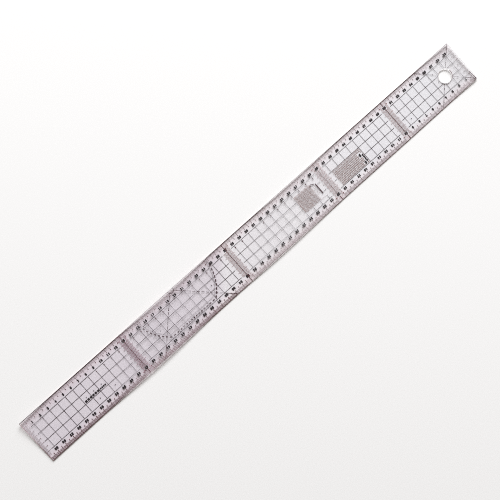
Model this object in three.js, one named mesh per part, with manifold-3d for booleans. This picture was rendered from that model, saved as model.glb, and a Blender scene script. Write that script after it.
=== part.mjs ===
// Grading ruler, 600 x 50 mm: a limp clear plastic rule for pattern work.
// It is a sandwich. A thin clear back sheet carries the print on its upper face,
// and a thicker clear cover sheet is laid over the print, so that wear never
// reaches the scales. The rule lies loose on a table and doesn't quite lie flat: it stands
// off the table in two low diagonal waves and at its two ends.
//
// Frame, in millimetres: +X along the length, from the 0 end to the 60 end of
// the upper scale, +Y across the width, from the lower edge to the upper edge,
// +Z up. The origin is on the table, under the middle of the rule.
//
// Places on the print are given as a person reads them off the rule: u, in
// centimetres from the 0 end, and v, in centimetres from the lower edge.

import * as THREE from "three";
import { mergeVertices } from "three/addons/utils/BufferGeometryUtils.js";
import Module from "manifold-3d";

const wasm = await Module();
wasm.setup();

// ---- driving dimensions, in millimetres unless a name says otherwise ----
const LENGTH = 600; // the upper scale, 0 to 60 cm
const WIDTH = 50; // from one edge scale's foot to the other's
const MARGIN = 0.25; // the sheets stand out this far beyond the scales, all round
const THICKNESS = 1.2; // both sheets and the print between them
const BACK_THICKNESS = 0.25;
const CORNER_R = 0.8; // the corners are only broken, not rounded

const INK = 0.03; // thickness of one pass of ink, with its binder
const PASS_PITCH = 0.05; // from one pass of ink to the next
const FIRST_PASS = BACK_THICKNESS + 0.02;
const PASSES = 3;
const COVER_UNDERSIDE = FIRST_PASS + PASSES * PASS_PITCH;

const HOLE_U = 57.5; // cm, centre of the hanging hole
const HOLE_V = 2.5; // cm
const HOLE_R = 7.75;
const HOLE_CLEAR = 0.3; // the print stops this far short of the hole

// The waves. Their crests run at 45 degrees across the rule, so the lift
// depends on w, the distance along the length less the distance above the
// middle line. At the 60 end the lift runs the other way and more nearly
// square across: it depends on s, the distance along the length plus
// RIGHT_LEAN times the distance above the middle line.
const WAVES = [
  { centre: 170, before: 84, after: 86, lift: 2.1 },
  { centre: 338, before: 64, after: 98, lift: 1.2 },
];
// The curls lift the upper corner of the 0 end, and the whole of the 60 end,
// most at its upper corner.
const LEFT_CURL = { from: 25, reach: 50, lift: 2.6, power: 1.7 };
const RIGHT_CURL = { from: 550, reach: 50, lift: 1.25, power: 1.3 };
const RIGHT_LEAN = 0.4;
const STATION = 10; // spacing of the creases that stand for the smooth bend
const CROSSOVER = 500; // where the two directions of bend meet, on a flat stretch

// ---- the bend ----
function waveLift(w) {
  let z = 0;
  for (const { centre, before, after, lift } of WAVES) {
    const t = (w - centre) / (w < centre ? before : after);
    if (Math.abs(t) < 1) z += (lift / 2) * (1 + Math.cos(Math.PI * t));
  }
  const { from, reach, lift, power } = LEFT_CURL;
  return w < from ? z + lift * ((from - w) / reach) ** power : z;
}
function curlLift(s) {
  const { from, reach, lift, power } = RIGHT_CURL;
  return s > from ? lift * ((s - from) / reach) ** power : 0;
}

// ---- solids ----
function solid(geometry) {
  const g = geometry.clone();
  g.deleteAttribute("normal");
  g.deleteAttribute("uv");
  const merged = mergeVertices(g, 1e-4);
  return new wasm.Manifold(
    new wasm.Mesh({
      numProp: 3,
      vertProperties: new Float32Array(merged.attributes.position.array),
      triVerts: new Uint32Array(merged.index.array),
    }),
  );
}
function geometryOf(manifold) {
  const m = manifold.getMesh();
  const positions = new Float32Array(m.numVert * 3);
  for (let i = 0; i < m.numVert; i++)
    positions.set(
      m.vertProperties.subarray(i * m.numProp, i * m.numProp + 3),
      i * 3,
    );
  const g = new THREE.BufferGeometry()
    .setAttribute("position", new THREE.BufferAttribute(positions, 3))
    .setIndex(new THREE.BufferAttribute(new Uint32Array(m.triVerts), 1));
  g.computeVertexNormals();
  return g;
}

// One stretch of bent sheet between two heights above its underside. Its
// profile is drawn along the length, drawn out across the width, and leant
// over so that the creases run aslant, at 45 degrees where the lean is 1.
function bentStretch(low, high, start, end, lift, lean) {
  const stations = [];
  for (let w = start; w <= end; w += STATION) stations.push(w);
  const kept = stations.filter(
    (w, i) =>
      i === 0 ||
      i === stations.length - 1 ||
      Math.abs(lift(w - STATION) - 2 * lift(w) + lift(w + STATION)) > 1e-9,
  );
  const profile = new THREE.Shape();
  profile.moveTo(kept[0], lift(kept[0]) + low);
  for (const w of kept.slice(1)) profile.lineTo(w, lift(w) + low);
  for (const w of [...kept].reverse()) profile.lineTo(w, lift(w) + high);
  const depth = WIDTH + 20;
  const g = new THREE.ExtrudeGeometry(profile, {
    depth,
    bevelEnabled: false,
    steps: 1,
  });
  g.translate(-LENGTH / 2, 0, -depth / 2);
  g.rotateX(Math.PI / 2);
  g.applyMatrix4(new THREE.Matrix4().makeShear(0, 0, lean, 0, 0, 0));
  return solid(g);
}

// A tall straight column over a plan outline.
function column(shape) {
  const g = new THREE.ExtrudeGeometry(shape, {
    depth: 40,
    bevelEnabled: false,
    curveSegments: 24,
  });
  g.translate(0, 0, -10);
  return solid(g);
}
function box(x0, x1) {
  const g = new THREE.BoxGeometry(x1 - x0, WIDTH + 40, 40);
  g.translate((x0 + x1) / 2, 0, 10);
  return solid(g);
}

// The whole bent layer between two heights, before it is cut to an outline.
const HALF = LENGTH / 2;
const layers = new Map();
function bentLayer(low, high) {
  const key = low.toFixed(3) + " " + high.toFixed(3);
  if (!layers.has(key)) {
    const seam = CROSSOVER - HALF;
    const left = bentStretch(low, high, -47, 553, waveLift, 1).intersect(
      box(-HALF - 5, seam + 10),
    );
    const right = bentStretch(low, high, 440, 650, curlLift, -RIGHT_LEAN).intersect(
      box(seam - 10, HALF + 5),
    );
    layers.set(key, left.add(right));
  }
  return layers.get(key);
}

// ---- plan outlines ----
const X = (u) => u * 10 - HALF;
const Y = (v) => v * 10 - WIDTH / 2;

function outline(points) {
  const s = new THREE.Shape();
  points.forEach(([u, v], i) =>
    i ? s.lineTo(X(u), Y(v)) : s.moveTo(X(u), Y(v)),
  );
  return s;
}
function rect(u0, u1, v0, v1) {
  return outline([
    [u0, v0],
    [u1, v0],
    [u1, v1],
    [u0, v1],
  ]);
}
function sheetOutline() {
  const s = new THREE.Shape();
  const hx = HALF + MARGIN - CORNER_R;
  const hy = WIDTH / 2 + MARGIN - CORNER_R;
  const corners = [
    [hx, -hy, -90],
    [hx, hy, 0],
    [-hx, hy, 90],
    [-hx, -hy, 180],
  ];
  let first = true;
  for (const [x, y, a0] of corners)
    for (let i = 0; i <= 3; i++) {
      const a = THREE.MathUtils.degToRad(a0 + 30 * i);
      const px = x + CORNER_R * Math.cos(a);
      const py = y + CORNER_R * Math.sin(a);
      if (first) s.moveTo(px, py);
      else s.lineTo(px, py);
      first = false;
    }
  return s;
}
function withHole(shape, r) {
  const ring = new THREE.Path();
  ring.absarc(X(HOLE_U), Y(HOLE_V), r, 0, 2 * Math.PI, true);
  shape.holes.push(ring);
  return shape;
}

// ---- materials ----
const clear = new THREE.MeshStandardMaterial({
  color: 0xe6dfe8,
  roughness: 0.12,
  metalness: 0,
  transparent: true,
  opacity: 0.25,
});
const blackInk = new THREE.MeshStandardMaterial({
  color: 0x1c171b,
  roughness: 0.55,
  metalness: 0,
});
const greyInk = new THREE.MeshStandardMaterial({
  color: 0x4a434a,
  roughness: 0.55,
  metalness: 0,
});
const brownInk = new THREE.MeshStandardMaterial({
  color: 0x5a3f45,
  roughness: 0.55,
  metalness: 0,
});

// ---- the rule ----
const ruler = new THREE.Group();
ruler.name = "grading_ruler";
function add(name, shape, low, high, material) {
  const part = bentLayer(low, high).intersect(column(shape));
  const mesh = new THREE.Mesh(geometryOf(part), material);
  mesh.name = name;
  ruler.add(mesh);
}
function print(name, shape, pass, material) {
  const low = FIRST_PASS + pass * PASS_PITCH;
  add(name, shape, low, low + INK, material);
}

add("back_sheet", withHole(sheetOutline(), HOLE_R), 0, BACK_THICKNESS, clear);
add(
  "cover_sheet",
  withHole(sheetOutline(), HOLE_R),
  COVER_UNDERSIDE,
  THICKNESS,
  clear,
);

// First pass, black: the scales along the four edges, their numerals, the bar
// of blocks, the gauge of fine lines and the table of figures.
const E = -0.01; // cm, the base lines of the scales reach this far past their ends
print("upper_edge_scale", rect(E, 60 - E, 4.465, 5 - E), 0, blackInk);
print("upper_numerals", rect(0.8, 59.3, 4.12, 4.46), 0, blackInk);
print("lower_edge_scale", rect(E, 60 - E, E, 0.535), 0, blackInk);
print("lower_numerals", rect(0.7, 59.2, 0.54, 0.86), 0, blackInk);
print("left_end_scale", rect(E, 0.62, 0.55, 4.45), 0, blackInk);
print("right_end_scale", rect(59.38, 60 - E, 0.55, 4.45), 0, blackInk);
print("inner_numerals", rect(0.7, 39.3, 3.66, 3.92), 0, blackInk);
print("block_bar", rect(6.08, 8.92, 2.08, 2.32), 0, blackInk);
print("fine_line_gauge", rect(35.95, 39.15, 1.4, 3.62), 0, greyInk);
print("number_table", rect(41, 44.96, 1.04, 2.96), 0, greyInk);

// Second pass, grey: the centimetre grid.
print(
  "centimetre_grid",
  withHole(rect(0.2, 59.8, 0.98, 4.02), HOLE_R + HOLE_CLEAR),
  1,
  greyInk,
);

// Third pass, brown: the four scales across the rule, the angle scale around
// u = 20 at the upper edge, and the diagonals through the hanging hole.
for (const u of [13, 27, 40, 50])
  print("cross_scale_" + u, rect(u - 0.66, u + 0.66, E, 5 - E), 2, brownInk);
print(
  "angle_scale",
  outline([
    [14.8, 5 - E],
    [14.8, 4.1],
    [15.9, 1.9],
    [14.9, 0.5],
    [14.9, E],
    [15.5, E],
    [16.8, 0.95],
    [23.2, 0.95],
    [24.5, E],
    [25.1, E],
    [25.1, 0.5],
    [24.1, 1.9],
    [25.2, 4.1],
    [25.2, 5 - E],
  ].reverse()),
  2,
  brownInk,
);
print(
  "hole_diagonals",
  withHole(rect(55, 60 - E, E, 5 - E), HOLE_R + HOLE_CLEAR),
  2,
  brownInk,
);

export default ruler;
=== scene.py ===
import math
import random

import bpy
from mathutils import Matrix, Vector
from mathutils.geometry import delaunay_2d_cdt


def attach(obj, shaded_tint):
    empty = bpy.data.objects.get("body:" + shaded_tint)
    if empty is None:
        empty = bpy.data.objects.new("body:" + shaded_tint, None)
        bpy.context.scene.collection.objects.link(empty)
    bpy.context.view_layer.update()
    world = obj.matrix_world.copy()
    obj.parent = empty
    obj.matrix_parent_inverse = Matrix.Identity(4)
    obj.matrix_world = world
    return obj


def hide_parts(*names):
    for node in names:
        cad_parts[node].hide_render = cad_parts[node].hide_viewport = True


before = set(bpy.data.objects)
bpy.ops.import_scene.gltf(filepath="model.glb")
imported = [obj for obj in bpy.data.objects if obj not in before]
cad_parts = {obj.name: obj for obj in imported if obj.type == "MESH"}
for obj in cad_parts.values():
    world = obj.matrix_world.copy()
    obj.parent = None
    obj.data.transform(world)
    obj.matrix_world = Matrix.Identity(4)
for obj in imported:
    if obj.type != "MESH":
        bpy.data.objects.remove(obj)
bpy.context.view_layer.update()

# ---------------------------------------------------------------------------
# Places on the rule. u and v are in centimetres, as read off the rule: u from
# the 0 end of the upper scale, v from the lower edge. Heights are in
# millimetres above the rule's own underside. Meshes are in metres.
# ---------------------------------------------------------------------------
LENGTH, WIDTH = 60.0, 5.0
MARGIN = 0.025  # the sheets stand out this far beyond the ends of the scales
HOLE = (57.5, 2.5)
HOLE_R = 0.775
CORNER_R = 0.08
INK = 0.03
PASS = (0.27, 0.32, 0.37)  # undersides of the three passes of ink

WAVES = ((170.0, 84.0, 86.0, 2.1), (338.0, 64.0, 98.0, 1.2))


def lift(u, v):
    """Height of the rule's underside over the table at a place on it, in mm."""
    a, y = u * 10.0, v * 10.0 - 25.0
    if u < 50.0:
        w, z = a - y, 0.0
        for centre, before, after, high in WAVES:
            t = (w - centre) / (before if w < centre else after)
            if abs(t) < 1.0:
                z += high / 2.0 * (1.0 + math.cos(math.pi * t))
        if w < 25.0:
            z += 2.6 * ((25.0 - w) / 50.0) ** 1.7
        return z
    s = a + 0.4 * y
    return 1.25 * ((s - 550.0) / 50.0) ** 1.3 if s > 550.0 else 0.0


def place(u, v, z):
    return (u / 100.0 - 0.3, v / 100.0 - 0.025, (lift(u, v) + z) / 1000.0)


def new_object(name, verts, faces, smooth=False):
    mesh = bpy.data.meshes.new(name)
    mesh.from_pydata(verts, [], faces)
    mesh.validate()
    mesh.polygons.foreach_set("use_smooth", [smooth] * len(mesh.polygons))
    mesh.update()
    ob = bpy.data.objects.new(name, mesh)
    bpy.context.scene.collection.objects.link(ob)
    return ob


# ---------------------------------------------------------------------------
# Numerals: strokes of one thickness along the lines below, joined into one flat
# outline. Each line is a row of places in a unit box, and True closes it.
# ---------------------------------------------------------------------------
def oval(cx, cy, rx, ry, n=14):
    return [
        (cx + rx * math.cos(2 * math.pi * i / n), cy + ry * math.sin(2 * math.pi * i / n))
        for i in range(n)
    ]


SIX = [
    (0.94, 0.88), (0.72, 1.0), (0.36, 1.0), (0.09, 0.80), (0.0, 0.45), (0.05, 0.15),
    (0.28, 0.0), (0.72, 0.0), (0.96, 0.13), (1.0, 0.31), (0.93, 0.49), (0.70, 0.60),
    (0.32, 0.60), (0.04, 0.42),
]
STROKES = {
    "0": [(oval(0.5, 0.5, 0.5, 0.5), True)],
    "1": [([(0.34, 0.84), (0.54, 1.0), (0.54, 0.0)], False)],
    "2": [([(0.0, 0.80), (0.16, 0.96), (0.42, 1.0), (0.78, 0.96), (0.98, 0.78), (0.92, 0.56), (0.0, 0.0), (1.0, 0.0)], False)],
    "3": [
        ([(0.0, 0.88), (0.22, 1.0), (0.72, 1.0), (0.96, 0.82), (0.92, 0.62), (0.64, 0.53), (0.36, 0.53)], False),
        ([(0.64, 0.53), (0.96, 0.38), (1.0, 0.18), (0.76, 0.0), (0.22, 0.0), (0.0, 0.13)], False),
    ],
    "4": [([(0.74, 0.0), (0.74, 1.0), (0.0, 0.30), (1.0, 0.30)], False)],
    "5": [([(0.94, 1.0), (0.12, 1.0), (0.06, 0.56), (0.55, 0.64), (0.90, 0.52), (1.0, 0.30), (0.90, 0.10), (0.62, 0.0), (0.22, 0.0), (0.0, 0.12)], False)],
    "6": [(SIX, False)],
    "7": [([(0.0, 1.0), (1.0, 1.0), (0.36, 0.0)], False)],
    "8": [(oval(0.5, 0.77, 0.42, 0.23, 12), True), (oval(0.5, 0.27, 0.5, 0.27, 12), True)],
    "9": [([(1.0 - x, 1.0 - y) for x, y in SIX], False)],
}
GLYPHS = {}


def glyph(char, weight, shape):
    """(points, triangles, rim) of one numeral one unit high and shape wide, middle at 0, its strokes weight thick."""
    key = (char, round(weight, 4), round(shape, 4))
    if key in GLYPHS:
        return GLYPHS[key]
    half = weight / 2
    wide, tall = shape - weight, 1.0 - weight
    verts, polygons = [], []

    def polygon(points):
        polygons.append(list(range(len(verts), len(verts) + len(points))))
        verts.extend(Vector(q) for q in points)

    for path, closed in STROKES[char]:
        row = [Vector(((x - 0.5) * wide, (y - 0.5) * tall)) for x, y in path]
        if char == "1":
            row = [Vector((q.x * 0.8, q.y)) for q in row]
        pairs = list(zip(row, row[1:] + row[:1] if closed else row[1:]))
        for i, (q0, q1) in enumerate(pairs):
            along = (q1 - q0).normalized()
            across = Vector((-along.y, along.x)) * half
            start = q0 - along * half if not closed and i == 0 else q0
            stop = q1 + along * half if not closed and i == len(pairs) - 1 else q1
            polygon([start - across, stop - across, stop + across, start + across])
        for q in row if closed else row[1:-1]:
            polygon([q + Vector((math.cos(a), math.sin(a))) * half for a in [math.pi * (i + 0.5) / 4 for i in range(8)]])
    found, _, faces, _, _, source = delaunay_2d_cdt(verts, [], polygons, 0, 1e-6)
    triangles, edges = [], {}
    for face, ids in zip(faces, source):
        if not ids:
            continue
        area = sum(
            found[i][0] * found[j][1] - found[j][0] * found[i][1]
            for i, j in zip(face, face[1:] + face[:1])
        )
        if abs(area) < 1e-9:
            continue
        ring = tuple(face) if area > 0 else tuple(reversed(face))
        triangles.append(ring)
        for i, j in zip(ring, ring[1:] + ring[:1]):
            edges[(i, j)] = edges.get((i, j), 0) + 1
    used = sorted({i for t in triangles for i in t})
    index = {old: new for new, old in enumerate(used)}
    points = [(found[i][0], found[i][1]) for i in used]
    triangles = [tuple(index[i] for i in t) for t in triangles]
    rim = [(index[i], index[j]) for i, j in edges if (j, i) not in edges]
    GLYPHS[key] = (points, triangles, rim)
    return GLYPHS[key]


class Print:
    """One part of the print: closed strokes of ink, all in one pass."""

    def __init__(self, pass_number):
        self.low = PASS[pass_number]
        self.high = self.low + INK
        self.verts, self.faces, self.inks = [], [], []
        self.ink = 0

    def solid(self, points, faces, rim):
        """A flat outline, already cut into faces, made into closed solid ink."""
        b, n = len(self.verts), len(points)
        self.verts += [place(u, v, self.low) for u, v in points]
        self.verts += [place(u, v, self.high) for u, v in points]
        for f in faces:
            self.faces.append(tuple(b + n + i for i in f))
            self.faces.append(tuple(b + i for i in reversed(f)))
        for i, j in rim:
            self.faces.append((b + i, b + j, b + n + j, b + n + i))
        self.inks += [self.ink] * (len(self.faces) - len(self.inks))

    def patch(self, ring):
        n = len(ring)
        self.solid(ring, [tuple(range(n))], [(i, (i + 1) % n) for i in range(n)])

    def line(self, points, width, closed=False):
        """A stroke of one width along a row of points."""
        n = len(points)
        left, right = [], []
        for i, (u, v) in enumerate(points):
            before = points[i - 1] if i or closed else points[0]
            after = points[(i + 1) % n] if i < n - 1 or closed else points[-1]
            d0 = Vector((u - before[0], v - before[1]))
            d1 = Vector((after[0] - u, after[1] - v))
            d = (d0.normalized() if d0.length else d1.normalized()) + (
                d1.normalized() if d1.length else d0.normalized()
            )
            d.normalize()
            one = d1.normalized() if d1.length else d0.normalized()
            half = width / 2 / max(0.5, d.dot(one))
            left.append((u - d.y * half, v + d.x * half))
            right.append((u + d.y * half, v - d.x * half))
        count = n if closed else n - 1
        faces = [(i, (i + 1) % n, n + (i + 1) % n, n + i) for i in range(count)]
        rim = [(i, (i + 1) % n) for i in range(count)]
        rim += [(n + (i + 1) % n, n + i) for i in range(count)]
        if not closed:
            rim += [(n - 1, 2 * n - 1), (n, 0)]
        self.solid(right + left, faces, rim)

    def bar(self, u0, v0, u1, v1, width, split=0.5):
        """A straight stroke, cut every half centimetre so that it follows the bend."""
        steps = max(1, math.ceil(math.hypot(u1 - u0, v1 - v0) / split))
        self.line(
            [
                (u0 + (u1 - u0) * i / steps, v0 + (v1 - v0) * i / steps)
                for i in range(steps + 1)
            ],
            width,
        )

    def arc(self, cu, cv, r, a0, a1, width, step=3.0):
        n = max(2, math.ceil(abs(a1 - a0) / step))
        self.line(
            [
                (
                    cu + r * math.cos(math.radians(a0 + (a1 - a0) * i / n)),
                    cv + r * math.sin(math.radians(a0 + (a1 - a0) * i / n)),
                )
                for i in range(n + 1)
            ],
            width,
        )

    def ring(self, cu, cv, r, width, sides=32):
        self.line(
            [
                (
                    cu + r * math.cos(2 * math.pi * i / sides),
                    cv + r * math.sin(2 * math.pi * i / sides),
                )
                for i in range(sides)
            ],
            width,
            closed=True,
        )

    def dot(self, cu, cv, r, sides=14):
        self.patch(
            [
                (
                    cu + r * math.cos(2 * math.pi * i / sides),
                    cv + r * math.sin(2 * math.pi * i / sides),
                )
                for i in range(sides)
            ]
        )

    def plus(self, cu, cv, size, width):
        self.bar(cu - size, cv, cu + size, cv, width)
        self.bar(cu, cv - size, cu, cv - width / 2, width)
        self.bar(cu, cv + width / 2, cu, cv + size, width)

    def number(self, value, cu, cv, tall, pitch, turn=0.0, weight=0.17, widest=0.84):
        """A numeral centred on a place, turned by turn degrees."""
        text = str(value)
        c, s = math.cos(math.radians(turn)), math.sin(math.radians(turn))
        for k, char in enumerate(text):
            points, faces, rim = glyph(char, weight, widest * pitch / tall)
            middle = (k - (len(text) - 1) / 2) * pitch
            self.solid(
                [
                    (
                        cu + c * (x * tall + middle) - s * y * tall,
                        cv + s * (x * tall + middle) + c * y * tall,
                    )
                    for x, y in points
                ],
                faces,
                rim,
            )

    def finish(self, node, materials):
        piece = new_object(node + "_print", self.verts, self.faces)
        for material in materials:
            piece.data.materials.append(material)
        if len(materials) > 1:
            piece.data.polygons.foreach_set("material_index", self.inks)
        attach(piece, "root")
        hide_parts(node)
        return piece


# ---------------------------------------------------------------------------
# Materials, all from nodes
# ---------------------------------------------------------------------------
class Nodes:
    def __init__(self, name):
        self.mat = bpy.data.materials.new(name)
        self.mat.use_nodes = True
        self.tree = self.mat.node_tree
        self.tree.nodes.clear()
        self.out = self.add("ShaderNodeOutputMaterial")
        self.where = self.add("ShaderNodeTexCoord").outputs["Object"]

    def add(self, kind, **values):
        n = self.tree.nodes.new(kind)
        for k, x in values.items():
            setattr(n, k, x)
        return n

    def link(self, a, b):
        self.tree.links.new(a, b)

    def noise(self, scale, detail=3.0, rough=0.5, stretch=None):
        n = self.add("ShaderNodeTexNoise")
        n.inputs["Scale"].default_value = scale
        n.inputs["Detail"].default_value = detail
        n.inputs["Roughness"].default_value = rough
        if stretch:
            m = self.add("ShaderNodeMapping")
            m.inputs["Scale"].default_value = stretch
            self.link(self.where, m.inputs["Vector"])
            self.link(m.outputs["Vector"], n.inputs["Vector"])
        else:
            self.link(self.where, n.inputs["Vector"])
        return n.outputs["Fac"]

    def ramp(self, source, stops):
        n = self.add("ShaderNodeValToRGB")
        ramp = n.color_ramp
        while len(ramp.elements) < len(stops):
            ramp.elements.new(0.5)
        for e, (at, colour) in zip(ramp.elements, stops):
            e.position = at
            e.color = (*colour, 1.0)
        self.link(source, n.inputs["Fac"])
        return n.outputs["Color"]

    def span(self, source, low, high, from_low=0.3, from_high=0.7):
        n = self.add("ShaderNodeMapRange")
        n.inputs["From Min"].default_value = from_low
        n.inputs["From Max"].default_value = from_high
        n.inputs["To Min"].default_value = low
        n.inputs["To Max"].default_value = high
        self.link(source, n.inputs["Value"])
        return n.outputs["Result"]

    def bump(self, source, strength, distance):
        n = self.add("ShaderNodeBump")
        n.inputs["Strength"].default_value = strength
        n.inputs["Distance"].default_value = distance
        self.link(source, n.inputs["Height"])
        return n.outputs["Normal"]


def ink_material(name, thin, dense, scale=2600.0):
    """Screen-printed ink: its density varies over a few tenths of a millimetre, with the odd thin spot."""
    m = Nodes(name)
    p = m.add("ShaderNodeBsdfPrincipled")
    grain = m.noise(scale, 4.0, 0.6)
    broad = m.noise(60.0, 2.0, 0.5)
    both = m.add("ShaderNodeMath", operation="MULTIPLY_ADD")
    both.inputs[1].default_value = 0.35
    m.link(broad, both.inputs[0])
    scaled = m.add("ShaderNodeMath", operation="MULTIPLY")
    scaled.inputs[1].default_value = 0.65
    m.link(grain, scaled.inputs[0])
    m.link(scaled.outputs[0], both.inputs[2])
    m.link(
        m.ramp(both.outputs[0], ((0.30, dense), (0.58, tuple((a + b) / 2 for a, b in zip(thin, dense))), (0.74, thin))),
        p.inputs["Base Color"],
    )
    m.link(m.span(grain, 0.48, 0.68), p.inputs["Roughness"])
    m.link(m.bump(grain, 0.25, 0.00002), p.inputs["Normal"])
    p.inputs["IOR"].default_value = 1.45
    m.link(p.outputs["BSDF"], m.out.inputs["Surface"])
    return m.mat


BLACK = ink_material("black_ink", (0.026, 0.017, 0.022), (0.006, 0.004, 0.005))
TICKS = ink_material("brown_black_ink", (0.230, 0.078, 0.088), (0.085, 0.025, 0.029))
GREY = ink_material("grey_ink", (0.110, 0.074, 0.092), (0.036, 0.022, 0.029))
DARK = ink_material("dark_brown_ink_and_painted_shadow", (0.110, 0.045, 0.056), (0.036, 0.013, 0.018))
PURPLE = ink_material("purple_ink", (0.380, 0.090, 0.155), (0.150, 0.030, 0.060))
SPINE = ink_material("spine_ink", (0.120, 0.028, 0.034), (0.045, 0.009, 0.012))
WARM = ink_material("warm_grey_ink", (0.380, 0.180, 0.135), (0.155, 0.062, 0.047))
BROWN = ink_material("brown_ink", (0.450, 0.150, 0.130), (0.180, 0.048, 0.042))


def clear_material(name):
    """The outer face of limp clear sheet: what is behind shows through with a faint violet tint, under a soft gloss."""
    m = Nodes(name)
    see = m.add("ShaderNodeBsdfTransparent")
    along = m.add("ShaderNodeSeparateXYZ")
    m.link(m.where, along.inputs["Vector"])
    cloud = m.noise(22.0, 3.0, 0.55)
    # The creases lean over at 45 degrees, and so do the limits of the tints. The tint is darker and more violet from
    # the 0 end to about 25 cm, and a little darker beyond about 56 cm: painted shade.
    slant = m.add("ShaderNodeMath", operation="SUBTRACT")
    m.link(along.outputs["X"], slant.inputs[0])
    m.link(along.outputs["Y"], slant.inputs[1])
    drift = m.add("ShaderNodeMath", operation="MULTIPLY_ADD")
    drift.inputs[1].default_value = 0.02
    m.link(cloud, drift.inputs[0])
    m.link(m.span(slant.outputs[0], -0.01, 0.99, -0.3, 0.3), drift.inputs[2])
    shaded_tint = m.ramp(
        drift.outputs[0],
        (
            (0.02, (0.9560, 0.9415, 0.9570)),
            (0.20, (0.9575, 0.9420, 0.9575)),
            (0.405, (0.9550, 0.9400, 0.9545)),
            (0.425, (0.9840, 0.9785, 0.9845)),
            (0.62, (0.9845, 0.9795, 0.9855)),
            (0.76, (0.9840, 0.9820, 0.9895)),
            (0.915, (0.9745, 0.9740, 0.9815)),
            (0.955, (0.9650, 0.9620, 0.9685)),
        ),
    )
    # The sheet is a little warmer along both long edges.
    off_middle = m.add("ShaderNodeMath", operation="ABSOLUTE")
    m.link(along.outputs["Y"], off_middle.inputs[0])
    reach = m.span(off_middle.outputs[0], 0.0, 1.0, 0.0160, 0.0250)
    rim = m.ramp(reach, ((0.0, (1.0, 1.0, 1.0)), (0.40, (0.999, 0.988, 0.989)), (1.0, (1.0, 0.986, 0.986))))
    tint = m.add("ShaderNodeMix", data_type="RGBA", blend_type="MULTIPLY")
    tint.inputs["Factor"].default_value = 1.0
    m.link(shaded_tint, tint.inputs[6])
    m.link(rim, tint.inputs[7])
    m.link(tint.outputs[2], see.inputs["Color"])
    haze = m.add("ShaderNodeBsdfPrincipled")
    m.link(
        m.ramp(cloud, ((0.3, (0.56, 0.49, 0.58)), (0.7, (0.66, 0.60, 0.68)))),
        haze.inputs["Base Color"],
    )
    haze.inputs["Roughness"].default_value = 0.5
    veil = m.add("ShaderNodeMixShader")
    m.link(m.span(m.noise(9.0, 4.0, 0.6), 0.008, 0.022), veil.inputs["Fac"])
    m.link(see.outputs["BSDF"], veil.inputs[1])
    m.link(haze.outputs["BSDF"], veil.inputs[2])
    shine = m.add("ShaderNodeBsdfGlossy")
    shine.inputs["Color"].default_value = (1.0, 1.0, 1.0, 1.0)
    handled = m.noise(140.0, 4.0, 0.65, (1.0, 3.0, 1.0))
    m.link(m.span(handled, 0.07, 0.20), shine.inputs["Roughness"])
    ripple = m.noise(85.0, 3.0, 0.5)
    m.link(m.bump(ripple, 0.12, 0.0004), shine.inputs["Normal"])
    fresnel = m.add("ShaderNodeFresnel")
    fresnel.inputs["IOR"].default_value = 1.45
    side = m.add("ShaderNodeNewGeometry")
    outside = m.add("ShaderNodeMath", operation="SUBTRACT")
    outside.inputs[0].default_value = 1.0
    m.link(side.outputs["Backfacing"], outside.inputs[1])
    share = m.add("ShaderNodeMath", operation="MULTIPLY")
    m.link(fresnel.outputs["Fac"], share.inputs[0])
    m.link(outside.outputs[0], share.inputs[1])
    mix = m.add("ShaderNodeMixShader")
    m.link(share.outputs[0], mix.inputs["Fac"])
    m.link(veil.outputs["Shader"], mix.inputs[1])
    m.link(shine.outputs["BSDF"], mix.inputs[2])
    m.link(mix.outputs["Shader"], m.out.inputs["Surface"])
    return m.mat


def bond_material(name):
    """The face that lies on the print, bonded to it: no gloss of its own, only the faintest cloudiness."""
    m = Nodes(name)
    see = m.add("ShaderNodeBsdfTransparent")
    m.link(
        m.ramp(m.noise(30.0, 2.0, 0.5), ((0.3, (0.992, 0.990, 0.993)), (0.7, (1.0, 1.0, 1.0)))),
        see.inputs["Color"],
    )
    m.link(see.outputs["BSDF"], m.out.inputs["Surface"])
    return m.mat


def wall_material(name, dull, bright, passing):
    """The cut edge: frosted by the blade, with faint marks of the cut. passing is how much of the light soaks through it."""
    m = Nodes(name)
    p = m.add("ShaderNodeBsdfPrincipled")
    strokes = m.noise(500.0, 3.0, 0.6, (1.0, 1.0, 0.12))
    m.link(m.ramp(strokes, ((0.3, dull), (0.7, bright))), p.inputs["Base Color"])
    m.link(m.span(strokes, 0.30, 0.50), p.inputs["Roughness"])
    m.link(m.bump(strokes, 0.3, 0.00005), p.inputs["Normal"])
    through = m.add("ShaderNodeBsdfTranslucent")
    m.link(
        m.ramp(strokes, ((0.3, tuple(0.8 + 0.15 * x for x in dull)), (0.7, tuple(0.85 + 0.13 * x for x in bright)))),
        through.inputs["Color"],
    )
    mix = m.add("ShaderNodeMixShader")
    mix.inputs["Fac"].default_value = passing
    m.link(p.outputs["BSDF"], mix.inputs[1])
    m.link(through.outputs["BSDF"], mix.inputs[2])
    m.link(mix.outputs["Shader"], m.out.inputs["Surface"])
    return m.mat


CLEAR = clear_material("clear_sheet_face")
BOND = bond_material("clear_sheet_bond")
# The cut edge comes in three copies of one material, which differ only by how light falls on them. The dark copy is
# painted shade: it makes the long edges, the 0 end and the shaded side of the hole look dark and throw deep shadows.
# The pale copies at the 60 end and in the hole are painted light.
SHADED_WALL = wall_material("clear_sheet_edge_painted_shade", (0.40, 0.27, 0.28), (0.54, 0.40, 0.41), 0.03)
LIT_END_WALL = wall_material("clear_sheet_end_edge_painted_light", (0.86, 0.82, 0.83), (0.94, 0.91, 0.92), 0.60)
LIT_HOLE_WALL = wall_material("clear_sheet_punched_edge_painted_light", (0.85, 0.82, 0.81), (0.92, 0.90, 0.89), 0.78)


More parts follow.
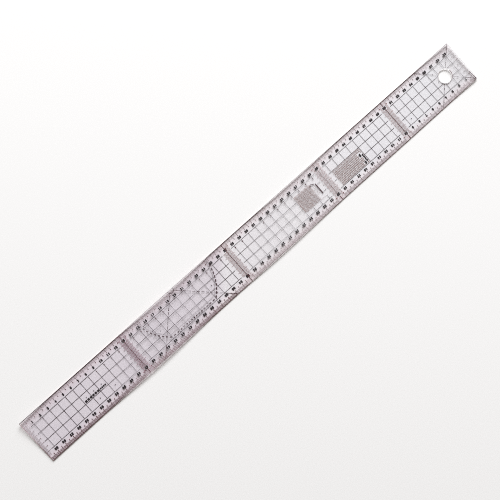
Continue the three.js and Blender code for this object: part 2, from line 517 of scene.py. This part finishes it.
# ---------------------------------------------------------------------------
# The two sheets
# ---------------------------------------------------------------------------
def outline(inset):
    """The sheets' outline, anticlockwise, this many centimetres inside their edge."""
    u_low, u_high = -MARGIN, LENGTH + MARGIN
    v_low, v_high = -MARGIN, WIDTH + MARGIN
    r = CORNER_R
    points = []

    def side(u0, v0, u1, v1, spacing):
        n = max(1, round(math.hypot(u1 - u0, v1 - v0) / spacing))
        for i in range(1, n):
            points.append((u0 + (u1 - u0) * i / n, v0 + (v1 - v0) * i / n, 0.0, 0.0))

    def corner(cu, cv, a0):
        for i in range(7):
            a = math.radians(a0 + 15.0 * i)
            points.append((cu, cv, math.cos(a), math.sin(a)))

    corner(u_high - r, v_low + r, -90.0)
    side(u_high, v_low + r, u_high, v_high - r, 0.2)
    corner(u_high - r, v_high - r, 0.0)
    side(u_high - r, v_high, u_low + r, v_high, 0.2)
    corner(u_low + r, v_high - r, 90.0)
    side(u_low, v_high - r, u_low, v_low + r, 0.2)
    corner(u_low + r, v_low + r, 180.0)
    side(u_low + r, v_low, u_high - r, v_low, 0.2)
    ring = []
    for u, v, nu, nv in points:
        if nu == 0.0 and nv == 0.0:
            u = min(max(u, u_low + inset), u_high - inset)
            v = min(max(v, v_low + inset), v_high - inset)
            ring.append((u, v))
        else:
            ring.append((u + (r - inset) * nu, v + (r - inset) * nv))
    return ring


def hole_ring(inset):
    n = 120
    return [
        (
            HOLE[0] + (HOLE_R + inset) * math.cos(2 * math.pi * i / n),
            HOLE[1] - (HOLE_R + inset) * math.sin(2 * math.pi * i / n),
        )
        for i in range(n)
    ]


def inner_points():
    points = []
    for i in range(1, 150):
        for j in range(1, 13):
            u = i * 0.4
            v = j * 5.0 / 13.0 + (0.09 if i % 2 else -0.09)
            if math.hypot(u - HOLE[0], v - HOLE[1]) > HOLE_R + 0.28 and 0.15 < v < 4.85:
                points.append((u, v))
    for ring, n in ((HOLE_R + 0.10, 60), (HOLE_R + 0.22, 44)):
        for i in range(n):
            a = 2 * math.pi * (i + 0.5) / n
            points.append((HOLE[0] + ring * math.cos(a), HOLE[1] + ring * math.sin(a)))
    return points


INNER = inner_points()


def triangles(outer, hole):
    """Triangles of the region between two rings, their corners first in order: outer, then hole, then the rest."""
    points = [Vector(p) for p in outer + hole + INNER]
    n, m = len(outer), len(hole)
    edges = [(i, (i + 1) % n) for i in range(n)]
    edges += [(n + i, n + (i + 1) % m) for i in range(m)]
    found, _, faces, origin, _, _ = delaunay_2d_cdt(points, edges, [], 0, 1e-7)
    back = [ids[0] if ids else None for ids in origin]
    kept = []
    for f in faces:
        cu = sum(found[i][0] for i in f) / len(f)
        cv = sum(found[i][1] for i in f) / len(f)
        if math.hypot(cu - HOLE[0], cv - HOLE[1]) < math.hypot(
            hole[0][0] - HOLE[0], hole[0][1] - HOLE[1]
        ) * math.cos(math.pi / m) * 0.9999:
            continue
        if not inside(cu, cv, outer):
            continue
        kept.append(tuple(back[i] for i in f))
    return kept


def inside(u, v, ring):
    low = ring[0]
    u0, u1 = min(p[0] for p in ring), max(p[0] for p in ring)
    v0, v1 = min(p[1] for p in ring), max(p[1] for p in ring)
    return u0 < u < u1 and v0 < v < v1


def sheet(name, node, upper, wall, lower):
    """upper and lower are (inset, height) of the flat faces' rims, wall the steps between them, from top to bottom."""
    steps = [upper, *wall, lower]
    verts, faces, slots = [], [], []
    rings = []
    for inset, z in steps:
        outer, hole = outline(inset), hole_ring(inset)
        rings.append((len(verts), len(outer), len(hole)))
        verts += [place(u, v, z) for u, v in outer + hole]
    for (b0, n, m), (b1, _, _) in zip(rings, rings[1:]):
        for start, count in ((0, n), (n, m)):
            for i in range(count):
                j = (i + 1) % count
                faces.append((b0 + start + j, b0 + start + i, b1 + start + i, b1 + start + j))
                # The 60 end's wall gets the pale copy of the cut edge, painted light, and so does the punched
                # hole's wall in the cover sheet, but for its lower right. That lower right and the hole's
                # wall in the back sheet get the dark copy, painted shade.
                if start:
                    a = (-360.0 * i / count + 180.0) % 360.0 - 180.0
                    slots.append(4 if node == "cover_sheet" and not -58.0 < a < 18.0 else 2)
                else:
                    slots.append(3 if verts[b0 + i][0] > 0.3 else 2)
    for (inset, z), base, up in ((upper, rings[0], True), (lower, rings[-1], False)):
        b, n, m = base
        extra = len(verts)
        verts += [place(u, v, z) for u, v in INNER]
        for f in triangles(outline(inset), hole_ring(inset)):
            ring = tuple(b + i if i < n + m else extra + i - n - m for i in f)
            faces.append(ring if up else ring[::-1])
            slots.append(0 if up == (node == "cover_sheet") else 1)
    piece = new_object(name, verts, faces, smooth=True)
    for m in (CLEAR, BOND, SHADED_WALL, LIT_END_WALL, LIT_HOLE_WALL):
        piece.data.materials.append(m)
    piece.data.polygons.foreach_set("material_index", slots)
    piece.data.set_sharp_from_angle(angle=math.radians(40.0))
    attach(piece, "root")
    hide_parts(node)
    return piece


# The cover sheet's rim comes down to the back sheet, where the two are welded.
sheet(
    "cover_sheet_film",
    "cover_sheet",
    (0.007, 1.200),
    ((0.002, 1.192), (0.0, 1.170), (0.0, 0.265), (0.0015, 0.253), (0.008, 0.253)),
    (0.008, 0.420),
)
sheet(
    "back_sheet_film",
    "back_sheet",
    (0.002, 0.250),
    ((0.0, 0.240), (0.0, 0.030), (0.002, 0.008)),
    (0.007, 0.0),
)

# ---------------------------------------------------------------------------
# The print
# ---------------------------------------------------------------------------
FINE = 0.018  # cm, a millimetre tick
TICK = 0.023  # cm, a centimetre tick
CROSS = (13, 27, 40, 50)  # where the scales across the rule stand


# --- edge scales ---
def edge_scale(node, edge, inward, fine, mark):
    p = Print(0)
    for i in range(1, 600):
        u = i / 10.0
        if i % 10 and min(abs(u - c) for c in CROSS) < 0.45:
            continue  # the scales across the rule have their own ticks here
        # The ticks are heavier towards the 0 end, and lighter on the upper edge in the lifted stretches and beyond 55.5
        # cm, and on the lower edge beyond 50 cm. These changes in weight are partly painted light and shade.
        heavy = (1.5 if inward > 0 else 1.1) if u < 25.0 else 1.0
        if inward > 0 and u < 12.5:
            heavy = 1.83 - 0.026 * u
        if inward < 0:
            heavy *= 0.62 if u > 55.5 else 0.74 if 14.0 < u < 25.0 or 33.0 < u < 39.5 else 1.0
        elif u > 50.0:
            heavy *= 0.82
        if i % 10 == 0:
            long, wide = 0.49, mark
        elif i % 5 == 0:
            long, wide = 0.42, mark * 0.75
        else:
            long, wide = 0.32, fine * 1.06
        p.bar(u, edge, u, edge + inward * long, wide * heavy)
    # A dark band along the very edge, heaviest where the rule lies flat: painted shadow of the sheet's cut edge.
    for u0, u1, wide, ink in ((0.01, 9.5, 0.046, 1), (9.5, 20.0, 0.014, 1), (20.0, 25.0, 0.034 if inward > 0 else 0.014, 1), (25.0, 33.0, 0.022, 1), (33.0, 57.5, 0.016, 1), (57.5, 59.9, 0.034 if inward > 0 else 0.016, 1)):
        p.ink = ink
        p.bar(u0, edge + inward * (wide / 2 - 0.023), u1, edge + inward * (wide / 2 - 0.023), wide)
    # Short dark bars up both ends from the lower edge, the one at the 60 end aslant: painted shadow of the sheet's
    # ends.
    if inward > 0:
        p.bar(59.955, 0.03, 59.920, 0.53, 0.060)
        p.bar(-0.002, 0.03, -0.002, 0.56, 0.030)
    p.ink = 0
    for k in range(60):
        p.number(5, k + 0.5, edge + inward * 0.475, 0.10, 0.095, 0 if inward < 0 else 180, 0.28 if k < 25 else 0.22)
    p.finish(node, (TICKS, DARK))


edge_scale("upper_edge_scale", 4.99, -1, 0.013, 0.026)
edge_scale("lower_edge_scale", 0.01, 1, 0.022, 0.032)

p = Print(0)
for k in range(1, 60):
    p.number(k, k, 4.290, 0.305, 0.205, 0, 0.275 if 27 < k < 36 else 0.35 if 40 < k < 50 else 0.30, 0.90)
p.finish("upper_numerals", (BLACK,))

p = Print(0)
for k in range(1, 60):
    p.number(60 - k, k, 0.700, 0.305, 0.212, 180, 0.40 if k < 13 else 0.345 if k < 26 or 40 < k < 50 else 0.27 if 28 < k < 36 else 0.29, 0.90)
p.finish("lower_numerals", (BLACK,))


# --- end scales ---
def end_scale(node, edge, inward, fine, mark):
    p = Print(0)
    for i in range(6, 45):
        v = i / 10.0
        if i % 10 == 0:
            long, wide = 0.50, mark
        elif i % 5 == 0:
            long, wide = 0.42, mark
        else:
            long, wide = 0.30, fine
        p.bar(edge, v, edge + inward * long, v, wide)
    for k in (1.5, 2.5, 3.5):
        p.number(5, edge + inward * 0.50, k, 0.09, 0.08, 90, 0.28)
    # Dark bars along the lower part of each end, the one at the 60 end aslant: painted shadow of the sheet's ends.
    if inward > 0:
        p.ink = 1
        p.bar(-0.002, 0.57, -0.002, 1.4, 0.022)
        p.bar(-0.002, 1.402, -0.002, 2.4, 0.013)
    else:
        p.ink = 1
        p.bar(59.918, 0.57, 59.880, 1.15, 0.050)
    p.finish(node, (TICKS, DARK))


end_scale("left_end_scale", 0.01, 1, 0.018, 0.026)
end_scale("right_end_scale", 59.92, -1, 0.012, 0.022)

# --- grid ---
p = Print(1)
GRID = 0.031


def grid_row(v, gaps):
    """A long line of the grid, with gaps, heavier in some stretches than in others."""
    ends = [0.6]
    for a, b in sorted(gaps) + [(59.4, 60.0)]:
        if a > ends[-1]:
            ends += [a, b]
        else:
            ends[-1] = max(ends[-1], b)
    # The changes in weight along the rule are partly painted shade: the heavier stretches stand in for the lines'
    # shadows on the table.
    weights = ((0.0, 0.040), (8.5, 0.032), (13.5, 0.046), (19.5, 0.036), (24.5, 0.038), (27.5, 0.030), (45.5, 0.040), (51.0, 0.032))
    for a, b in zip(ends[0::2], ends[1::2]):
        b = min(b, 59.4)
        cuts = [a] + [c for c, _ in weights if a < c < b] + [b]
        for c0, c1 in zip(cuts, cuts[1:]):
            wide = [w for c, w in weights if c <= (c0 + c1) / 2][-1]
            p.bar(c0, v, c1, v, wide)


ARC_R = 4.82
for v in (1.0, 2.0, 3.0, 4.0):
    gaps = [(c - 0.62, c + 0.62) for c in CROSS]
    if v > 1.5:
        reach = math.sqrt(ARC_R**2 - (5.0 - v) ** 2)
        gaps += [(20 - reach - 0.14, 20 - reach + 0.14), (20 + reach - 0.14, 20 + reach + 0.14)]
    if v in (2.0, 3.0):
        gaps.append((35.95, 39.0))
        half = math.sqrt((HOLE_R + 0.035) ** 2 - (v - HOLE[1]) ** 2)
        gaps.append((HOLE[0] - half, HOLE[0] + half))
    if v == 2.0:
        gaps.append((40.95, 44.95))
    grid_row(v, gaps)
for u in range(1, 60):
    if u in CROSS:
        continue
    spans = [(1.014, 3.98)]
    if 41 <= u <= 44:
        spans = [(3.02, 3.98)]
    if u in (36, 37, 38, 39):
        spans = [(1.014, 1.42), (3.62, 3.98)]
    if u in (57, 58):
        half = math.sqrt((HOLE_R + 0.035) ** 2 - (u - HOLE[0]) ** 2)
        spans = [(1.014, HOLE[1] - half), (HOLE[1] + half, 3.98)]
    # The upright lines are heavier in some stretches, partly painted shade for their shadows on the table.
    wide = 0.040 if 4 <= u <= 8 or 14 <= u <= 18 else 0.036 if 25 <= u <= 26 else 0.027 if 19 <= u <= 31 else GRID
    for a, b in spans:
        p.bar(u, a, u, b, wide)
for u, v in ((6.5, 2.5), (7.5, 2.5), (8.5, 2.5), (16.5, 2.5), (23.5, 2.5), (7.5, 1.5), (9.5, 1.5), (51.5, 1.5)):
    p.plus(u, v, 0.07, GRID)
p.dot(56.5, 2.5, 0.03)
p.finish("centimetre_grid", (GREY,))

# --- small numerals inside the grid ---
p = Print(0)
for k in [*range(1, 13), *range(14, 19), 22, 23, 24, 26, 28, 29, *range(32, 40)]:
    p.number(k, k, 3.78, 0.11, 0.088, 0, 0.18)
p.finish("inner_numerals", (TICKS,))

# --- bar of blocks ---
p = Print(0)
for i in range(6):
    a = 6.13 + i * 0.318
    p.patch([(a, 2.09), (a + 0.235, 2.09), (a + 0.235, 2.31), (a, 2.31)])
for i in range(4):
    a = 8.08 + i * 0.205
    p.patch([(a, 2.115), (a + 0.150, 2.115), (a + 0.150, 2.285), (a, 2.285)])
p.finish("block_bar", (BLACK,))


# --- scales across the rule ---
def cross_scale(c, spine, offset, tick, reach, material):
    p = Print(2)
    middle = c + offset
    p.ink = 1
    p.bar(middle, 0.012, middle, 4.988, spine)
    p.ink = 0
    left, right = middle - spine / 2, middle + spine / 2
    for i in range(1, 50):
        v = i / 10.0
        if i % 5 == 0:
            long, wide = (0.52 if i % 10 == 0 else 0.62), tick * 1.2
        else:
            long, wide = reach, tick
        if not 5 <= i <= 45:
            wide = 0.62 * tick  # finer beside the edge scales
        for a, b in ((c - long, left), (right, c + long + (0.0 if i % 5 == 0 else 0.06))):
            # The ticks stop short of the numerals.
            if 5 <= i <= 8 or 41 <= i <= 45:
                a, b = (a, min(b, c - 0.25)) if b < c else (max(a, c + 0.25), b)
            p.bar(a, v, b, v, wide)
    p.finish("cross_scale_%d" % c, (material, SPINE))


cross_scale(13, 0.046, 0.01, 0.031, 0.41, PURPLE)
cross_scale(27, 0.040, 0.02, 0.0205, 0.45, BROWN)
cross_scale(40, 0.026, -0.03, 0.0205, 0.455, BROWN)
cross_scale(50, 0.042, 0.02, 0.0205, 0.45, BROWN)

# --- angle scale, its middle at u = 20 on the upper edge ---
p = Print(2)
CU, CV = 20.0, 5.0


def on_arc(r, degrees):
    a = math.radians(degrees)
    return CU - r * math.cos(a), CV - r * math.sin(a)


for d in range(5, 180, 5):
    if d <= 50 or d >= 130:
        u, v = on_arc(ARC_R, d)
        weight = 0.20 if d < 9 or d > 171 else 0.33
        p.number(d, u, v, 0.155, 0.120 if d < 100 else 0.092, d - 90 if d > 90 else d + 90, weight)
    else:
        p.number(d, CU - 3.8 / math.tan(math.radians(d)), 1.2, 0.145, 0.112 if d < 100 else 0.088, 0, 0.30)
for side in (1, -1):
    p.arc(CU, CV, 4.66, 180.4 if side > 0 else 359.6, 229.5 if side > 0 else 310.5, 0.012)
p.bar(CU - 3.03, 1.45, CU + 3.03, 1.45, 0.012)
for d in range(1, 180):
    long = 0.10 if d % 5 else 0.16
    if d < 50 or d > 130:
        u0, v0 = on_arc(4.66, d)
        u1, v1 = on_arc(4.66 - long, d)
    else:
        t = 1 / math.tan(math.radians(d))
        u0, v0 = CU - 3.55 * t, 1.45
        u1, v1 = CU - (3.55 - long) * t, 1.45 + long
    p.bar(u0, v0, u1, v1, 0.010)
p.arc(CU, CV - 0.02, 0.34, 182.0, 358.0, 0.060, 10.0)
for way in (-1, 1):
    u, v = CU + way * 0.26, CV - 0.26
    end = 4.87 if way < 0 else 4.95
    p.bar(u, v, CU + way * 0.88, CV - 0.88, 0.036)
    reach = 0.88
    while reach < 3.9:
        a, b = reach + 0.06, min(reach + 0.28, 4.0)
        p.bar(CU + way * a, CV - a, CU + way * b, CV - b, 0.018 if reach > 2.9 else 0.044 if way < 0 else 0.054)
        reach += 0.34
    for k in range(1, 5):
        p.dot(CU + way * k, CV - k, 0.045)
        if k < 4:
            p.dot(CU + way * (k + 0.5), CV - k - 0.5, 0.038)
    p.bar(CU + way * 4.05, CV - 4.05, CU + way * 4.96, CV - 4.96, 0.045)
p.finish("angle_scale", (DARK,))

# --- diagonals through the hole ---
p = Print(2)
for way in (-1, 1):
    for end in (-1, 1):
        a, b = (HOLE_R + 0.04), (2.46 if end > 0 else 2.44)
        s = math.sqrt(0.5)
        p.bar(
            HOLE[0] + end * a * s,
            HOLE[1] + way * end * a * s,
            HOLE[0] + end * 1.55,
            HOLE[1] + way * end * 1.55,
            0.020,
        )
        p.bar(
            HOLE[0] + end * 1.55,
            HOLE[1] + way * end * 1.55,
            HOLE[0] + end * b,
            HOLE[1] + way * end * b,
            0.038,
        )
        p.dot(HOLE[0] + end * 1.0, HOLE[1] + way * end * 1.0, 0.048)
# A dark dot at the lower corner of the 60 end: painted shade where the edge shadows meet.
p.dot(59.925, 0.115, 0.06)
p.finish("hole_diagonals", (DARK,))

# --- gauge of fine lines ---
p = Print(0)


def clipped(u0, v0, u1, v1, box):
    """The part of a straight stroke that lies in a box, or None."""
    t0, t1 = 0.0, 1.0
    for p0, d, low, high in ((u0, u1 - u0, box[0], box[1]), (v0, v1 - v0, box[2], box[3])):
        if abs(d) < 1e-12:
            if not low <= p0 <= high:
                return None
            continue
        a, b = (low - p0) / d, (high - p0) / d
        t0, t1 = max(t0, min(a, b)), min(t1, max(a, b))
    if t1 - t0 < 0.02:
        return None
    return u0 + t0 * (u1 - u0), v0 + t0 * (v1 - v0), u0 + t1 * (u1 - u0), v0 + t1 * (v1 - v0)


BLOCK = (35.99, 38.24, 1.50, 3.58)
for i in range(-16, 44):
    u = 36.0 + i * 0.11
    cut = clipped(u, 1.0, u + 1.9, 4.0, BLOCK)
    if cut:
        # The lines are heavier towards the upper left.
        p.bar(*cut, 0.024 - 0.004 * max(0.0, min(1.0, (u - 35.6) / 2.0)))
for i in range(0, 19):
    r = 0.35 + i * 0.13
    points = []
    for k in range(0, 61):
        a = math.radians(-30 + 3.0 * k)
        u, v = 36.9 + r * math.cos(a), 1.2 + r * math.sin(a)
        if BLOCK[0] < u < BLOCK[1] and BLOCK[2] < v < BLOCK[3]:
            points.append((u, v))
        else:
            if len(points) > 2:
                p.line(points, 0.012)
            points = []
    if len(points) > 2:
        p.line(points, 0.012)
for i in range(16):
    p.dot(36.03, 1.56 + i * 0.133, 0.026, 8)
p.bar(38.42, 2.1, 38.42, 3.1, 0.014)
p.bar(38.56, 2.1, 38.56, 3.1, 0.014)
p.bar(38.1, 1.47, 39.13, 1.47, 0.012)
p.ink = 1
p.line([(38.22, 3.24), (38.24, 3.38), (38.34, 3.43), (38.45, 3.38), (38.48, 3.27)], 0.075)
p.line([(38.52, 3.30), (38.62, 3.30), (38.72, 3.20)], 0.075)
p.patch([(38.765, 1.87), (38.875, 1.87), (38.875, 3.18), (38.765, 3.18)])
p.finish("fine_line_gauge", (WARM, DARK))

# --- table of figures ---
p = Print(0)
numbers = random.Random(7)
p.bar(41.01, 1.05, 44.94, 1.05, 0.010)
p.bar(41.01, 2.95, 44.94, 2.95, 0.010)
for u in (41.01, 44.94):
    p.bar(u, 1.056, u, 2.944, 0.010)
MARKS = [(44.535, 2.23, 0.36, 0.27), (44.535, 1.27, 0.34, 0.27)]
MARKS += [(44.805, v, 0.22, 0.20) for v in (2.10, 1.86, 1.62, 1.38)]
for row in range(10):
    v = 1.150 + row * 0.189
    for col in range(32):
        u = 41.11 + col * 0.119 + (0.03 if row % 2 else 0.0)
        if u > 44.86 or any(abs(u - a) < wide / 2 + 0.055 and abs(v - b) < tall / 2 + 0.075 for a, b, tall, wide in MARKS):
            continue
        # The top row, which heads the columns, is finer.
        p.number(numbers.choice("0245689"), u, v, 0.145, 0.104, 0, 0.10 if row == 9 else 0.155)
p.ink = 1
for u, v, tall, wide in MARKS:
    p.number(numbers.choice("2358"), u, v, tall, wide, 0, 0.34)
p.finish("number_table", (WARM, BLACK))

# ---------------------------------------------------------------------------
# Table, light and camera
# ---------------------------------------------------------------------------
steps = 24
side = 3.2
verts = [
    (-side + 2 * side * i / steps, -side + 2 * side * j / steps, -0.00004)
    for j in range(steps + 1)
    for i in range(steps + 1)
]
faces = [
    (a, a + 1, a + steps + 2, a + steps + 1)
    for j in range(steps)
    for i in range(steps)
    for a in [j * (steps + 1) + i]
]
table = new_object("table_top", verts, faces)
m = Nodes("table_top")
q = m.add("ShaderNodeBsdfPrincipled")
m.link(
    m.ramp(m.noise(900.0, 3.0, 0.6), ((0.3, (0.878, 0.872, 0.868)), (0.7, (0.892, 0.886, 0.882)))),
    q.inputs["Base Color"],
)
q.inputs["Roughness"].default_value = 0.85
q.inputs["Specular IOR Level"].default_value = 0.2
m.link(m.bump(m.noise(1400.0, 4.0, 0.6), 0.05, 0.00003), q.inputs["Normal"])
m.link(q.outputs["BSDF"], m.out.inputs["Surface"])
table.data.materials.append(m.mat)

scene = bpy.context.scene
scene.view_settings.view_transform = "Standard"
# The print is finer than a pixel, and a denoiser would smear it away.
scene.cycles.use_denoising = False
scene.cycles.filter_width = 1.0

world = bpy.data.worlds.new("soft_studio")
scene.world = world
world.use_nodes = True
back = world.node_tree.nodes["Background"]
back.inputs["Color"].default_value = (1.0, 0.84, 0.72, 1.0)
back.inputs["Strength"].default_value = 0.14
# Past the floor there is a plain pale backdrop, which only other views see.
backdrop = world.node_tree.nodes.new("ShaderNodeBackground")
backdrop.inputs["Color"].default_value = (0.86, 0.86, 0.86, 1.0)
backdrop.inputs["Strength"].default_value = 0.95
seen = world.node_tree.nodes.new("ShaderNodeLightPath")
either = world.node_tree.nodes.new("ShaderNodeMixShader")
world.node_tree.links.new(seen.outputs["Is Camera Ray"], either.inputs["Fac"])
world.node_tree.links.new(back.outputs["Background"], either.inputs[1])
world.node_tree.links.new(backdrop.outputs["Background"], either.inputs[2])
world.node_tree.links.new(either.outputs["Shader"], world.node_tree.nodes["World Output"].inputs["Surface"])

# One long soft lamp, up and to the far right: its long side lies along the rule,
# so that only what runs along the rule throws a clear shadow.
key = bpy.data.lights.new("key", "AREA")
key.shape = "RECTANGLE"
key.size = 4.5
key.size_y = 2.5
key.energy = 472.0
key.color = (1.0, 1.02, 1.035)
lamp = bpy.data.objects.new("key", key)
towards = Vector((1.08, 1.0, 1.0)).normalized()
along = (Vector((1.0, 0.0, 0.0)) - towards * towards.x).normalized()
across = towards.cross(along)
lamp.matrix_world = Matrix.Translation(towards * 5.0) @ Matrix(
    (
        (along.x, across.x, towards.x),
        (along.y, across.y, towards.y),
        (along.z, across.z, towards.z),
    )
).to_4x4()
scene.collection.objects.link(lamp)

# A second lamp lights only the far floor on the other side. It hangs over that
# part of the floor and is narrow, so none of its light falls on the rule.
far = bpy.data.lights.new("far_floor", "AREA")
far.shape = "SQUARE"
far.size = 2.6
far.spread = math.radians(90.0)
far.energy = 20.0
far_lamp = bpy.data.objects.new("far_floor", far)
far_lamp.location = (-2.9, -2.8, 3.2)
scene.collection.objects.link(far_lamp)

view = bpy.data.cameras.new("view")
view.sensor_width = 36.0
view.lens = 46.8
view.clip_start = 0.01
view.clip_end = 50.0
eye = bpy.data.objects.new("view", view)
turn = Matrix(
    (
        (0.741601, 0.664481, -0.092159),
        (-0.666125, 0.745667, 0.016088),
        (0.079410, 0.049459, 0.995614),
    )
)
eye.matrix_world = Matrix.Translation((-0.07308, 0.01148, 0.67781)) @ turn.to_4x4()
scene.collection.objects.link(eye)
scene.camera = eye
